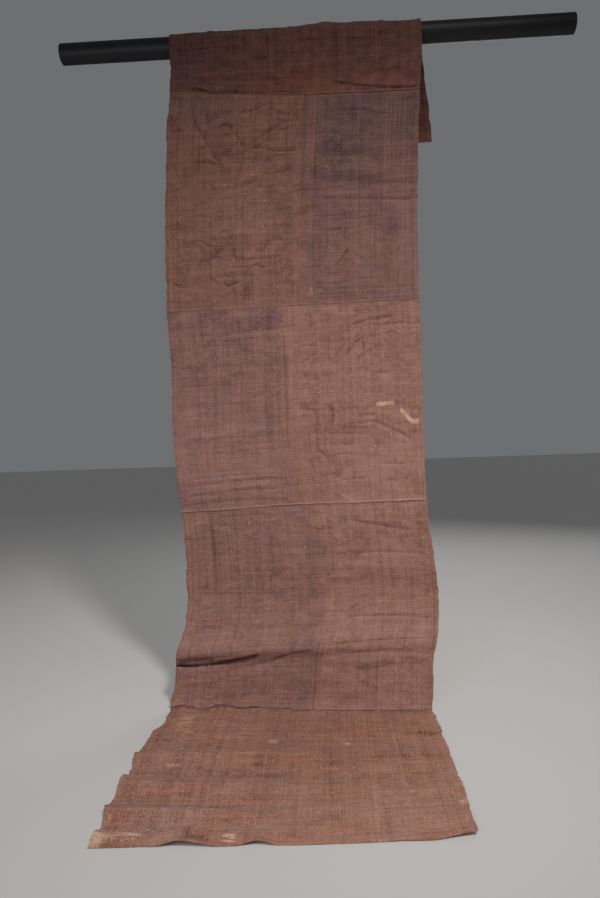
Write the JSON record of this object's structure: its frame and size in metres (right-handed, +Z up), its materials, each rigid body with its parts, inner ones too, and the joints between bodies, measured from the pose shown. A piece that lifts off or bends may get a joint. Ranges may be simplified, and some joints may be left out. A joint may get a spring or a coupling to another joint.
{
  "type": "kuba cloth hung over a rod",
  "caption": "Long raffia kuba cloth of woven panels sewn end to end, hung over a plain rod, falling to the floor and running out over it.",
  "frame": {"origin": "on the floor, under the middle of the bounding box", "axes": "+Z up, X along the rod, -Y the side the cloth is seen from and runs out to"},
  "size_m": [1.53, 0.8218, 2.0095],
  "materials": {
    "raffia_dark_brown": "matte plain weave",
    "raffia_mauve_brown": "matte plain weave",
    "raffia_brown": "matte plain weave",
    "raffia_orange_brown": "matte plain weave, worn at its corners",
    "rod_dark_paint": "matte dark paint"
  },
  "bodies": {
    "root": {"panel_back_top": "raffia_dark_brown", "panel_upper": "raffia_mauve_brown", "panel_middle": "raffia_brown", "panel_lower": "raffia_brown", "panel_floor": "raffia_orange_brown", "rod": "rod_dark_paint"}
  },
  "joints": []
}
